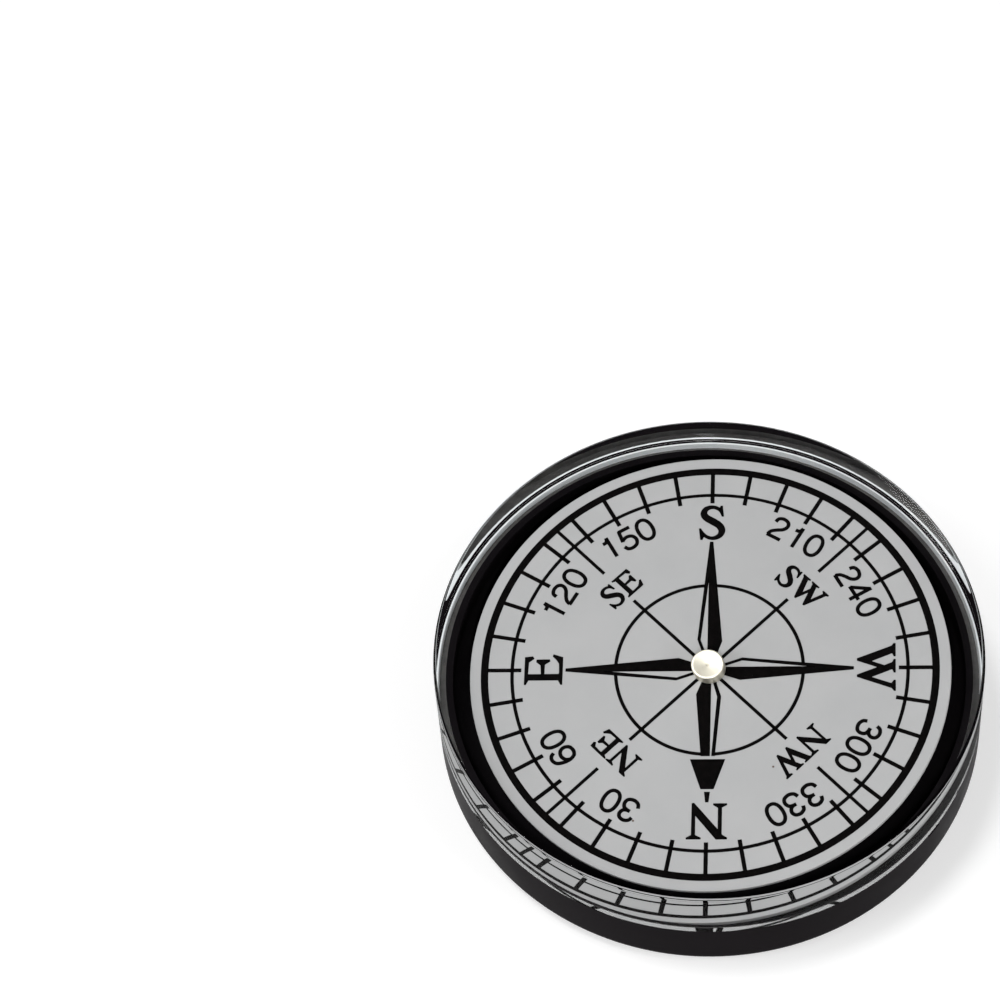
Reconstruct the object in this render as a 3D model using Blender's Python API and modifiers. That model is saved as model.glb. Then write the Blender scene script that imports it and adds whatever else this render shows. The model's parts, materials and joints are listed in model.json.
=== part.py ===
"""Liquid-damped magnetic compass: a black base tray under a clear cover, with a dial card on a pin.

The numbered card carries two bar magnets and rests on one needle point, so it
turns freely and can lean a few degrees each way. Sizes are in metres, +Z is up,
and the compass stands on z = 0 with its pin on the Z axis. The viewer is at -Y.
"""

import math

import bmesh
import bpy

MM = 0.001

# Driving sizes of the case
OUTER_RADIUS = 40.0 * MM
BASE_HEIGHT = 10.2 * MM
CLEAR_HEIGHT = 9.7 * MM
WALL = 2.7 * MM
COVER_PLATE = 3.2 * MM
FLOOR = 2.5 * MM
BASE_EDGE_RADIUS = 2.4 * MM
COVER_EDGE_RADIUS = 0.5 * MM
SEAL_WIDTH = 0.9 * MM

# Driving sizes of the card
CARD_RIM_CLEARANCE = 2.2 * MM
CARD_THICKNESS = 1.0 * MM
CARD_DEPTH = 8.2 * MM
PIVOT_ABOVE_CARD = 1.3 * MM
CAP_RADIUS = 2.4 * MM
CAP_HEIGHT = 3.0 * MM
CAP_DISH = 0.3 * MM
MAGNET_LENGTH = 20.0 * MM
MAGNET_WIDTH = 3.0 * MM
MAGNET_HEIGHT = 1.8 * MM
MAGNET_SPACING = 13.0 * MM
CARRIER_THICKNESS = 2.4 * MM

# How the card lies at rest: its front and its left side hang low, and N points a little left
LEAN_FORWARD = math.radians(4.3)
LEAN_LEFT = math.radians(5.3)
CARD_TURN = math.radians(-1.8)

# Clearances between neighbouring solids
SEAT_GAP = 0.3 * MM
FIT_GAP = 0.1 * MM

# Heights and radii that follow from the sizes above
TOTAL_HEIGHT = BASE_HEIGHT + CLEAR_HEIGHT
INNER_RADIUS = OUTER_RADIUS - WALL
CARD_RADIUS = INNER_RADIUS - CARD_RIM_CLEARANCE
CARD_TOP = TOTAL_HEIGHT - CARD_DEPTH
PIVOT_HEIGHT = CARD_TOP + PIVOT_ABOVE_CARD
CARD_BOTTOM = CARD_TOP - CARD_THICKNESS
STEM_RADIUS = CAP_RADIUS - 0.35 * MM
STEM_BORE = STEM_RADIUS - 0.4 * MM
SETTING_RADIUS = STEM_BORE - FIT_GAP
SETTING_BORE = SETTING_RADIUS - 0.4 * MM
JEWEL_RADIUS = SETTING_BORE - SEAT_GAP
CARRIER_TOP = CARD_BOTTOM - SEAT_GAP
CARRIER_BOTTOM = CARRIER_TOP - CARRIER_THICKNESS
CARRIER_RADIUS = math.hypot(MAGNET_LENGTH, MAGNET_SPACING + MAGNET_WIDTH) / 2 + 1.5 * MM
WASHER_THICKNESS = 0.4 * MM
WASHER_RADIUS = STEM_RADIUS + 1.6 * MM
PIN_RADIUS = 0.5 * MM
PIN_FOOT = 0.8 * MM
BUSH_RADIUS = 1.6 * MM
BOSS_RADIUS = BUSH_RADIUS + 1.6 * MM
BOSS_TOP = FLOOR + 2.0 * MM
PLUG_RADIUS = 2.0 * MM
PLUG_POSITION = 20.0 * MM
WEIGHT_RADIUS = 1.5 * MM
WEIGHT_THICKNESS = 1.5 * MM
WEIGHT_DISTANCE = 22.0 * MM
WEIGHT_ANGLE = math.atan2(-LEAN_FORWARD, -LEAN_LEFT) - CARD_TURN
NOTCH_ANGLE = math.radians(-37.0)

LARGE_STEPS = 96
SMALL_STEPS = 40


def clear_scene():
    for item in list(bpy.data.objects):
        bpy.data.objects.remove(item, do_unlink=True)


def new_collection(name):
    collection = bpy.data.collections.new(name)
    bpy.context.scene.collection.children.link(collection)
    return collection


clear_scene()
PARTS = new_collection("magnetic_compass")
CUTTERS = new_collection("cutters")


def new_material(name, colour, roughness, metallic=0.0, transmission=0.0):
    material = bpy.data.materials.new(name)
    material.use_nodes = True
    shader = material.node_tree.nodes["Principled BSDF"]
    shader.inputs["Base Color"].default_value = (*colour, 1.0)
    shader.inputs["Roughness"].default_value = roughness
    shader.inputs["Metallic"].default_value = metallic
    shader.inputs["Transmission Weight"].default_value = transmission
    material.diffuse_color = (*colour, 0.3 if transmission else 1.0)
    return material


def add_object(name, mesh, material, collection=None):
    item = bpy.data.objects.new(name, mesh)
    (collection or PARTS).objects.link(item)
    if material:
        mesh.materials.append(material)
    return item


def arc(centre, radius, start, end, steps=4):
    """Points on an arc in the (radius, height) plane, angles in degrees from +radius."""
    points = []
    for step in range(steps + 1):
        angle = math.radians(start + (end - start) * step / steps)
        x = centre[0] + radius * math.cos(angle)
        z = centre[1] + radius * math.sin(angle)
        points.append((x, z))
    return points


def turned(name, profile, material, steps=LARGE_STEPS, closed=True):
    """A body of revolution about Z. The profile runs down its outer side, and then back up inside."""
    mesh = bpy.data.meshes.new(name)
    shape = bmesh.new()
    corners = [shape.verts.new((radius, 0.0, height)) for radius, height in profile]
    for first, second in zip(corners, corners[1:]):
        shape.edges.new((first, second))
    if closed:
        shape.edges.new((corners[-1], corners[0]))
    shape.to_mesh(mesh)
    shape.free()
    item = add_object(name, mesh, material)
    screw = item.modifiers.new("turn", "SCREW")
    screw.axis = "Z"
    screw.steps = steps
    screw.render_steps = steps
    screw.use_merge_vertices = True
    screw.merge_threshold = 0.00001
    screw.use_smooth_shade = True
    return item


def box(name, size, location, material=None, collection=None, bevel=0.0):
    mesh = bpy.data.meshes.new(name)
    shape = bmesh.new()
    bmesh.ops.create_cube(shape, size=1.0)
    bmesh.ops.scale(shape, vec=size, verts=shape.verts)
    shape.to_mesh(mesh)
    shape.free()
    item = add_object(name, mesh, material, collection)
    item.location = location
    if bevel:
        edge = item.modifiers.new("edges", "BEVEL")
        edge.width = bevel
        edge.segments = 2
    return item


def cylinder(name, radius, height, location, material=None, collection=None, steps=SMALL_STEPS):
    mesh = bpy.data.meshes.new(name)
    shape = bmesh.new()
    bmesh.ops.create_cone(
        shape, cap_ends=True, segments=steps, radius1=radius, radius2=radius, depth=height
    )
    shape.to_mesh(mesh)
    shape.free()
    item = add_object(name, mesh, material, collection)
    item.location = location
    return item


def cut(target, cutter):
    cutter.hide_render = True
    cutter.display_type = "WIRE"
    difference = target.modifiers.new("cut " + cutter.name, "BOOLEAN")
    difference.operation = "DIFFERENCE"
    difference.solver = "EXACT"
    difference.object = cutter


def hold(parent, item):
    """Hangs the item on a parent; its location is then read in the parent's frame."""
    item.parent = parent
    return item


def new_empty(name, location, parent=None):
    empty = bpy.data.objects.new(name, None)
    empty.empty_display_size = 5.0 * MM
    PARTS.objects.link(empty)
    empty.location = location
    empty.parent = parent
    return empty


BLACK_PLASTIC = new_material("black_plastic", (0.012, 0.010, 0.012), 0.3)
CLEAR_PLASTIC = new_material("clear_acrylic", (0.95, 0.97, 0.97), 0.02, transmission=1.0)
PALE_SEAL = new_material("pale_seal", (0.62, 0.64, 0.64), 0.45)
STEEL = new_material("needle_steel", (0.62, 0.63, 0.65), 0.22, metallic=1.0)
BRASS = new_material("turned_brass", (0.78, 0.62, 0.33), 0.3, metallic=1.0)
NICKEL = new_material("polished_cap", (0.86, 0.82, 0.68), 0.18, metallic=1.0)
RUBY = new_material("ruby", (0.65, 0.06, 0.12), 0.05, transmission=0.6)
CARD_WHITE = new_material("card_white", (0.46, 0.48, 0.50), 0.5)
CARRIER_GREY = new_material("carrier_plastic", (0.30, 0.31, 0.32), 0.5)
MAGNET_GREY = new_material("magnet_alloy", (0.22, 0.22, 0.23), 0.35, metallic=0.9)
DARK_RUBBER = new_material("dark_rubber", (0.02, 0.02, 0.02), 0.7)


def make_base_tray():
    rounded = arc(
        (OUTER_RADIUS - BASE_EDGE_RADIUS, BASE_EDGE_RADIUS), BASE_EDGE_RADIUS, 0, -90, 6
    )
    fillet = arc((INNER_RADIUS - 1.5 * MM, FLOOR + 1.5 * MM), 1.5 * MM, -90, 0, 3)
    profile = [(OUTER_RADIUS, BASE_HEIGHT)]
    profile += rounded
    profile += [(0.0, 0.0), (0.0, PIN_FOOT)]
    profile += [(BUSH_RADIUS + FIT_GAP, PIN_FOOT), (BUSH_RADIUS + FIT_GAP, BOSS_TOP)]
    profile += [(BOSS_RADIUS, BOSS_TOP), (BOSS_RADIUS + 0.6 * MM, FLOOR)]
    profile += fillet
    profile += [(INNER_RADIUS, BASE_HEIGHT)]
    # The pin's seat lies on the axis, so the profile starts and ends there
    start = profile.index((0.0, PIN_FOOT))
    profile = profile[start:] + profile[:start]
    tray = turned("base_tray", profile, BLACK_PLASTIC, closed=False)
    plug_hole = cylinder(
        "plug_hole",
        PLUG_RADIUS + FIT_GAP,
        4 * FLOOR,
        (PLUG_POSITION, 0.0, 0.0),
        collection=CUTTERS,
    )
    cut(tray, plug_hole)
    seal_pocket = cylinder(
        "plug_head_pocket",
        PLUG_RADIUS + 1.3 * MM,
        2 * 1.4 * MM,
        (PLUG_POSITION, 0.0, 0.0),
        collection=CUTTERS,
    )
    cut(tray, seal_pocket)
    notch = box(
        "lifting_notch_cutter",
        (1.6 * MM, 2.6 * MM, 1.8 * MM),
        (
            OUTER_RADIUS * math.cos(NOTCH_ANGLE),
            OUTER_RADIUS * math.sin(NOTCH_ANGLE),
            BASE_HEIGHT,
        ),
        collection=CUTTERS,
        bevel=0.35 * MM,
    )
    notch.rotation_euler = (0.0, 0.0, NOTCH_ANGLE)
    cut(tray, notch)
    return tray


def make_clear_cover():
    wall_foot = BASE_HEIGHT + SEAT_GAP
    rabbet_top = BASE_HEIGHT + SEAL_WIDTH + 2 * FIT_GAP
    rabbet_radius = OUTER_RADIUS - SEAL_WIDTH - FIT_GAP
    crown = arc(
        (OUTER_RADIUS - COVER_EDGE_RADIUS, TOTAL_HEIGHT - COVER_EDGE_RADIUS),
        COVER_EDGE_RADIUS,
        90,
        0,
        3,
    )
    profile = [(0.0, TOTAL_HEIGHT)]
    profile += crown
    profile += [(OUTER_RADIUS, rabbet_top), (rabbet_radius, rabbet_top)]
    profile += [(rabbet_radius, wall_foot), (INNER_RADIUS, wall_foot)]
    profile += [(INNER_RADIUS, TOTAL_HEIGHT - COVER_PLATE), (0.0, TOTAL_HEIGHT - COVER_PLATE)]
    return turned("clear_cover", profile, CLEAR_PLASTIC, closed=False)


def make_seal_ring():
    low = BASE_HEIGHT + FIT_GAP
    high = low + SEAL_WIDTH
    inner = OUTER_RADIUS - SEAL_WIDTH
    profile = [(OUTER_RADIUS, high), (OUTER_RADIUS, low), (inner, low), (inner, high)]
    return turned("seal_ring", profile, PALE_SEAL)


def make_pivot_bush():
    flange_top = BOSS_TOP + SEAT_GAP + 0.7 * MM
    flange_foot = BOSS_TOP + SEAT_GAP
    bore = PIN_RADIUS + FIT_GAP
    profile = [(BUSH_RADIUS + 0.9 * MM, flange_top), (BUSH_RADIUS + 0.9 * MM, flange_foot)]
    profile += [(BUSH_RADIUS, flange_foot), (BUSH_RADIUS, PIN_FOOT + SEAT_GAP)]
    profile += [(bore, PIN_FOOT + SEAT_GAP), (bore, flange_top)]
    return turned("pivot_bush", profile, BRASS, SMALL_STEPS)


def make_pivot_pin():
    point = PIVOT_HEIGHT - FIT_GAP
    profile = [(0.0, point), (0.06 * MM, point - 0.04 * MM)]
    profile += [(0.22 * MM, point - 0.8 * MM), (PIN_RADIUS, point - 2.4 * MM)]
    profile += [(PIN_RADIUS, PIN_FOOT + SEAT_GAP), (0.0, PIN_FOOT + SEAT_GAP)]
    return turned("pivot_pin", profile, STEEL, SMALL_STEPS, closed=False)


def make_filler_plug():
    """A slotted screw plug in the floor, through which the case is filled."""
    head_low = 0.3 * MM
    head_high = head_low + 0.6 * MM
    shank_top = FLOOR + 0.8 * MM
    head_radius = PLUG_RADIUS + 1.0 * MM
    profile = [(0.0, shank_top), (PLUG_RADIUS, shank_top), (PLUG_RADIUS, head_high)]
    profile += [(head_radius, head_high), (head_radius, head_low), (0.0, head_low)]
    plug = turned("filler_plug", profile, BRASS, SMALL_STEPS, closed=False)
    plug.location = (PLUG_POSITION, 0.0, 0.0)
    slot = box(
        "plug_slot",
        (8.0 * MM, 0.7 * MM, 0.8 * MM),
        (PLUG_POSITION, 0.0, head_low),
        collection=CUTTERS,
    )
    cut(plug, slot)
    return plug


def make_plug_washer():
    low = 1.0 * MM
    high = 1.3 * MM
    outer = PLUG_RADIUS + 1.0 * MM
    inner = PLUG_RADIUS + FIT_GAP
    profile = [(outer, high), (outer, low), (inner, low), (inner, high)]
    washer = turned("plug_washer", profile, DARK_RUBBER, SMALL_STEPS)
    washer.location = (PLUG_POSITION, 0.0, 0.0)
    return washer


# The moving pieces are drawn level, with the pivot point as their origin
def below_pivot(height):
    return height - PIVOT_HEIGHT


def make_jewel():
    top = 0.5 * MM
    foot = -0.6 * MM
    profile = [(0.0, top), (JEWEL_RADIUS - 0.15 * MM, top), (JEWEL_RADIUS, top - 0.15 * MM)]
    profile += [(JEWEL_RADIUS, foot), (JEWEL_RADIUS - 0.2 * MM, foot), (0.0, 0.0)]
    return turned("jewel", profile, RUBY, SMALL_STEPS, closed=False)


def make_jewel_setting():
    top = 0.8 * MM
    foot = -1.0 * MM
    profile = [(SETTING_RADIUS, top), (SETTING_RADIUS, foot)]
    profile += [(SETTING_BORE, foot), (SETTING_BORE, top)]
    return turned("jewel_setting", profile, BRASS, SMALL_STEPS)


def make_bearing_cap():
    """The polished cap on the card, with the hollow stem that is riveted under the washer."""
    crown = below_pivot(CARD_TOP + CAP_HEIGHT)
    skirt = below_pivot(CARD_TOP + FIT_GAP)
    ceiling = 0.8 * MM + FIT_GAP
    washer_foot = below_pivot(CARRIER_BOTTOM - FIT_GAP - WASHER_THICKNESS)
    rivet_top = washer_foot - FIT_GAP
    rivet_foot = rivet_top - 0.4 * MM
    flare = STEM_RADIUS + 0.6 * MM
    profile = [(0.0, crown - CAP_DISH - 0.1 * MM), (0.35 * MM, crown - CAP_DISH)]
    profile += [(CAP_RADIUS - 0.45 * MM, crown - 0.05 * MM), (CAP_RADIUS - 0.3 * MM, crown)]
    profile += [(CAP_RADIUS - 0.1 * MM, crown - 0.03 * MM), (CAP_RADIUS, crown - 0.15 * MM)]
    profile += [(CAP_RADIUS, skirt), (STEM_RADIUS, skirt), (STEM_RADIUS, rivet_top)]
    profile += [(flare, rivet_top), (flare, rivet_foot), (STEM_BORE, rivet_foot)]
    profile += [(STEM_BORE, ceiling), (0.0, ceiling)]
    return turned("bearing_cap", profile, NICKEL, SMALL_STEPS, closed=False)


def make_card_disc():
    top = below_pivot(CARD_TOP)
    foot = below_pivot(CARD_BOTTOM)
    bore = STEM_RADIUS + FIT_GAP
    profile = [(CARD_RADIUS, top), (CARD_RADIUS, foot), (bore, foot), (bore, top)]
    return turned("card_disc", profile, CARD_WHITE)


def make_magnet_carrier(frame):
    top = below_pivot(CARRIER_TOP)
    foot = below_pivot(CARRIER_BOTTOM)
    bore = STEM_RADIUS + FIT_GAP
    profile = [(CARRIER_RADIUS, top), (CARRIER_RADIUS, foot), (bore, foot), (bore, top)]
    carrier = turned("magnet_carrier", profile, CARRIER_GREY, 64)
    for side in (-1, 1):
        pocket = box(
            "magnet_pocket_left" if side < 0 else "magnet_pocket_right",
            (
                MAGNET_WIDTH + 2 * FIT_GAP,
                MAGNET_LENGTH + 2 * FIT_GAP,
                2 * (MAGNET_HEIGHT + FIT_GAP),
            ),
            (side * MAGNET_SPACING / 2, 0.0, foot),
            collection=CUTTERS,
        )
        hold(frame, pocket)
        cut(carrier, pocket)
    return carrier


def make_magnet(name, side):
    height = below_pivot(CARRIER_BOTTOM) + MAGNET_HEIGHT / 2
    size = (MAGNET_WIDTH, MAGNET_LENGTH, MAGNET_HEIGHT)
    location = (side * MAGNET_SPACING / 2, 0.0, height)
    return box(name, size, location, MAGNET_GREY, bevel=0.2 * MM)


def make_stem_washer():
    top = below_pivot(CARRIER_BOTTOM - FIT_GAP)
    foot = top - WASHER_THICKNESS
    bore = STEM_RADIUS + FIT_GAP
    profile = [(WASHER_RADIUS, top), (WASHER_RADIUS, foot), (bore, foot), (bore, top)]
    return turned("stem_washer", profile, BRASS, SMALL_STEPS)


def make_balance_weight():
    """A small disc cemented under the card; its pull gives the card its lean."""
    height = below_pivot(CARD_BOTTOM - FIT_GAP) - WEIGHT_THICKNESS / 2
    location = (
        WEIGHT_DISTANCE * math.cos(WEIGHT_ANGLE),
        WEIGHT_DISTANCE * math.sin(WEIGHT_ANGLE),
        height,
    )
    return cylinder("balance_weight", WEIGHT_RADIUS, WEIGHT_THICKNESS, location, BRASS, steps=32)


def make_case():
    make_base_tray()
    make_clear_cover()
    make_seal_ring()
    make_pivot_bush()
    make_pivot_pin()
    make_filler_plug()
    make_plug_washer()


def make_card():
    """Three nested frames at the needle point: lean about X, lean about Y, and the turn."""
    forward = new_empty("forward_lean_axis", (0.0, 0.0, PIVOT_HEIGHT))
    forward.rotation_euler = (LEAN_FORWARD, 0.0, 0.0)
    sideways = new_empty("sideways_lean_axis", (0.0, 0.0, 0.0), forward)
    sideways.rotation_euler = (0.0, -LEAN_LEFT, 0.0)
    turning = new_empty("turning_axis", (0.0, 0.0, 0.0), sideways)
    turning.rotation_euler = (0.0, 0.0, CARD_TURN)
    hold(turning, make_jewel())
    hold(turning, make_jewel_setting())
    hold(turning, make_bearing_cap())
    hold(turning, make_card_disc())
    hold(turning, make_magnet_carrier(turning))
    hold(turning, make_magnet("magnet_left", -1))
    hold(turning, make_magnet("magnet_right", 1))
    hold(turning, make_stem_washer())
    hold(turning, make_balance_weight())


make_case()
make_card()
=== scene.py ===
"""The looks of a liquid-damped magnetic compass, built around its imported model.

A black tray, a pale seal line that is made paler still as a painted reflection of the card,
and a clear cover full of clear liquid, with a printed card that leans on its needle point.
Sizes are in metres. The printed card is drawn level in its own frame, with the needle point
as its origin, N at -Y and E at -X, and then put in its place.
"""

import json
import math

import bmesh
import bpy
from mathutils import Matrix, Vector


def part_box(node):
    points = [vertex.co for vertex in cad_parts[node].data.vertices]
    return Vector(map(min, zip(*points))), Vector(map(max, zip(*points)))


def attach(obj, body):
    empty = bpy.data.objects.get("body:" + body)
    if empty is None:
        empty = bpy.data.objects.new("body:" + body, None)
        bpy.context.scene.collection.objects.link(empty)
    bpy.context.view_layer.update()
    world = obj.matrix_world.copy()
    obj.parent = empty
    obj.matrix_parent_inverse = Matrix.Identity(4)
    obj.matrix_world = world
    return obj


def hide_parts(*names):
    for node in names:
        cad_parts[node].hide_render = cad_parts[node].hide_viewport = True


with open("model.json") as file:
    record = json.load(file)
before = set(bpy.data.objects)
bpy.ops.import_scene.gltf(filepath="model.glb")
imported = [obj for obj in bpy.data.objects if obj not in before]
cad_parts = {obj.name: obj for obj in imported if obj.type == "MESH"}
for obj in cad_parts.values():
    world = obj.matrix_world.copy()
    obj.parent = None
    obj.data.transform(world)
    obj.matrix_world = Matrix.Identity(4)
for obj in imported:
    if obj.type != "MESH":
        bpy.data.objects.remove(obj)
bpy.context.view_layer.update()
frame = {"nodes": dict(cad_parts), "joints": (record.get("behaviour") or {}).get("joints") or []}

MM = 0.001

# Sizes that come from the frame
TRAY_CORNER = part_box("base_tray")[1]
COVER_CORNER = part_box("clear_cover")[1]
OUTER = COVER_CORNER.x
TOP = COVER_CORNER.z
RIM = TRAY_CORNER.z

# The case, as in the solids, with a bevel on the boss
WALL = 2.7 * MM
INNER = OUTER - WALL
FLOOR = 2.5 * MM
TRAY_EDGE_RADIUS = 2.4 * MM
TRAY_CORNER_RADIUS = 1.5 * MM
COVER_EDGE_RADIUS = 0.5 * MM
BUSH_HOLE = 1.7 * MM
BOSS_RADIUS = 3.2 * MM
BOSS_TOP = FLOOR + 2.0 * MM
BOSS_BEVEL = 0.2 * MM
BOSS_FLARE = 0.6 * MM
PIN_FOOT = 0.8 * MM
PLUG_POSITION = 20.0 * MM
PLUG_HOLE = 2.1 * MM
PLUG_POCKET = 3.3 * MM
PLUG_POCKET_DEPTH = 1.4 * MM

# The joint of cover and tray: the foot of the wall covers a groove of the rim, and the seal
# stands on the groove's outer side
FOOT = RIM - 0.12 * MM
GROOVE_INNER = OUTER - 1.70 * MM
GROOVE_FLOOR = RIM - 1.10 * MM
SEAL_FOOT_INNER = OUTER - 0.76 * MM
SEAL_INNER = OUTER - 0.56 * MM
SEAL_OUTER = OUTER - 0.32 * MM
SEAL_GAP = 0.04 * MM

# The notch in the rim stays outside the seal
NOTCH_ANGLE = math.radians(-37.0)
NOTCH_WIDTH = 2.6 * MM
NOTCH_HEIGHT = 1.8 * MM
NOTCH_DEPTH = OUTER - SEAL_OUTER - 0.1 * MM

# The card and cap, as in the solids but with soft edges; heights are from the needle point
CARD_TURN = math.radians(-1.8)
CARD_RADIUS = INNER - 2.2 * MM
CARD_THICKNESS = 1.0 * MM
CARD_EDGE_RADIUS = 0.12 * MM
CARD_FACE = -1.3 * MM
FIT_GAP = 0.1 * MM
CAP_RADIUS = 2.4 * MM
CAP_EDGE_RADIUS = 0.2 * MM
CAP_TOP = CARD_FACE + 3.0 * MM
CAP_DISH = 0.3 * MM
STEM_RADIUS = 2.05 * MM
STEM_BORE = 1.65 * MM
STEM_CEILING = 0.9 * MM
RIVET_TOP = -5.6 * MM
RIVET_FOOT = -6.0 * MM
RIVET_RADIUS = 2.65 * MM

# The dish of the cap ends in a slightly steeper lip, and has a dimple with a nearly flat floor
CAP_LIP = CAP_RADIUS - 0.3 * MM
CAP_LIP_WIDTH = 0.15 * MM
CAP_LIP_RISE = 0.04 * MM
DIMPLE_RADIUS = 0.3 * MM
DIMPLE_DEPTH = 0.16 * MM
DIMPLE_FLOOR_RADIUS = 0.12 * MM
DIMPLE_FLOOR_RISE = 0.03 * MM

# The clear body reaches this far into the tray, so that no air is left between them
WETTING = 0.3 * MM

# The print on the card: the ink's own heights in metres, and all else in millimetres
INK_HEIGHT = 0.02 * MM
INK_ROOT = 0.02 * MM
EDGE_RING = (33.5, 32.4)
THIN_RING = 28.9
ROSE_RING = 13.7
TICK_INNER = 27.55
LONG_DIAGONAL = (32.5, 22.4)
SHORT_DIAGONAL = (16.05, 2.0)
TICK_LINE = 0.62
RING_LINE = 0.52
BIG_LETTER_RADIUS = 24.2
SMALL_LETTER_RADIUS = 18.75
SMALL_LETTER_SCALE = 0.665
NUMBER_RADIUS = 25.06
NUMBER_LINE = 0.57
NUMBER_PITCH = 3.0
ZERO_HALF_WIDTH = 1.10
ZERO_HALF_HEIGHT = 1.71
# The ink spreads this far past an outline
INK_SPREAD = 0.065
# Headings between which the ring of the rose is drawn, clear of the blades
ROSE_ARCS = ((3.5, 87.0), (93.0, 177.0), (183.0, 267.0), (273.0, 356.5))

# Finishes and light
CLEAR_IOR = 1.49
GLARE_REMOVED = 0.88
FLOOR_GLOW = 0.32

# How finely round shapes are drawn, and from which angle an edge is sharp
CASE_STEPS = 192
CAP_STEPS = 96
HOLE_STEPS = 64
RING_STEPS = 240
SHARP_ANGLE = 32.0
CAP_SHARP_ANGLE = 25.0


# Meshes


def finish_mesh(name, shape, sharp_angle=SHARP_ANGLE):
    """A mesh with outward faces, smooth except at its sharp edges."""
    bmesh.ops.remove_doubles(shape, verts=shape.verts, dist=1e-8)
    bmesh.ops.recalc_face_normals(shape, faces=shape.faces)
    mesh = bpy.data.meshes.new(name)
    shape.to_mesh(mesh)
    shape.free()
    mesh.shade_smooth()
    mesh.set_sharp_from_angle(angle=math.radians(sharp_angle))
    return mesh


def new_object(name, mesh):
    """An object with this mesh, put into the scene."""
    item = bpy.data.objects.new(name, mesh)
    bpy.context.scene.collection.objects.link(item)
    return item


def add_piece(name, mesh, materials, body, stands_for=None, place=None):
    """A piece of the compass: it rides on a body, and may stand for a solid."""
    item = new_object(name, mesh)
    for material in materials:
        mesh.materials.append(material)
    if place is not None:
        item.matrix_world = place
    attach(item, body)
    if stands_for:
        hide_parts(stands_for)
    return item


def arc(centre, radius, start, end, steps):
    """Points on an arc in the (radius, height) plane, angles in degrees from +radius."""
    points = []
    for step in range(steps + 1):
        angle = math.radians(start + (end - start) * step / steps)
        points.append((centre[0] + radius * math.cos(angle), centre[1] + radius * math.sin(angle)))
    return points


def turn_ring(shape, radius, height, steps):
    """The points that one point of a profile makes as it turns: one only, where it lies on Z."""
    if radius == 0.0:
        return [shape.verts.new((0.0, 0.0, height))]
    ring = []
    for step in range(steps):
        angle = 2.0 * math.pi * step / steps
        ring.append(shape.verts.new((radius * math.cos(angle), radius * math.sin(angle), height)))
    return ring


def lathe(profile, steps=CASE_STEPS, closed=False):
    """A turned solid about Z from a profile of (radius, height)."""
    shape = bmesh.new()
    rings = [turn_ring(shape, radius, height, steps) for radius, height in profile]
    pairs = list(zip(rings, rings[1:]))
    if closed:
        pairs.append((rings[-1], rings[0]))
    for upper, lower in pairs:
        for step in range(steps):
            following = (step + 1) % steps
            corners = [upper[step % len(upper)], upper[following % len(upper)]]
            corners += [lower[following % len(lower)], lower[step % len(lower)]]
            corners = list(dict.fromkeys(corners))
            if len(corners) > 2:
                shape.faces.new(corners)
    return shape


def ink_plate(shape, outline):
    """A flat patch of ink with the given outline, sunk slightly into the card."""
    top = [shape.verts.new((x * MM, y * MM, CARD_FACE + INK_HEIGHT)) for x, y in outline]
    foot = [shape.verts.new((x * MM, y * MM, CARD_FACE - INK_ROOT)) for x, y in outline]
    shape.faces.new(top)
    shape.faces.new(foot[::-1])
    for index in range(len(outline)):
        following = (index + 1) % len(outline)
        shape.faces.new((top[following], top[index], foot[index], foot[following]))


def ink_line(shape, points, widths, closed=False):
    """A line of ink along the points; widths is one width or a width for each point."""
    count = len(points)
    if not isinstance(widths, (list, tuple)):
        widths = [widths] * count
    sections = []
    for index, (point, width) in enumerate(zip(points, widths)):
        before = points[index - 1] if index or closed else point
        after = points[(index + 1) % count] if index < count - 1 or closed else point
        along = (Vector(after) - Vector(before)).normalized()
        across = Vector((-along.y, along.x)) * width / 2.0
        left = Vector(point) + across
        right = Vector(point) - across
        section = []
        for x, y, height in (
            (*left, INK_HEIGHT),
            (*right, INK_HEIGHT),
            (*right, -INK_ROOT),
            (*left, -INK_ROOT),
        ):
            section.append(shape.verts.new((x * MM, y * MM, CARD_FACE + height)))
        sections.append(section)
    pairs = list(zip(sections, sections[1:]))
    if closed:
        pairs.append((sections[-1], sections[0]))
    else:
        shape.faces.new(sections[0])
        shape.faces.new(sections[-1][::-1])
    for first, second in pairs:
        for side in range(4):
            corner = (side + 1) % 4
            shape.faces.new((first[side], first[corner], second[corner], second[side]))


def ink_patch(shape, outline):
    """A plate of ink and the line that the ink spreads past it."""
    ink_plate(shape, outline)
    ink_line(shape, outline, 2 * INK_SPREAD, closed=True)


def smooth_path(points, steps=6):
    """A smooth line through the points, which may carry a width as a third number."""
    path = []
    last = len(points) - 1
    for index in range(last):
        before = Vector(points[max(index - 1, 0)])
        start = Vector(points[index])
        end = Vector(points[index + 1])
        after = Vector(points[min(index + 2, last)])
        for step in range(steps):
            t = step / steps
            bend = 2.0 * before - 5.0 * start + 4.0 * end - after
            twist = 3.0 * start - before - 3.0 * end + after
            path.append((start + 0.5 * (t * (end - before) + t * t * bend + t**3 * twist))[:])
    path.append(tuple(points[last]))
    return path


# Places on the card: x to the right of a reader who faces outwards, y outwards


def dial_point(x, y, heading):
    """A point at the heading, in degrees clockwise from N."""
    angle = math.radians(-90.0 - heading)
    outward = Vector((math.cos(angle), math.sin(angle)))
    rightward = Vector((outward.y, -outward.x))
    return tuple(outward * y + rightward * x)


def dial_points(points, heading, radius=0.0, shift=0.0, scale=1.0):
    """Points of a figure that is scaled, moved aside and outwards, and turned to its heading."""
    return [dial_point(x * scale + shift, y * scale + radius, heading) for x, y in points]


def dial_arc(radius, start, end, steps):
    """Points on a circle round the card from one heading to another."""
    return [dial_point(0.0, radius, start + (end - start) * i / steps) for i in range(steps + 1)]


# Finishes


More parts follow.
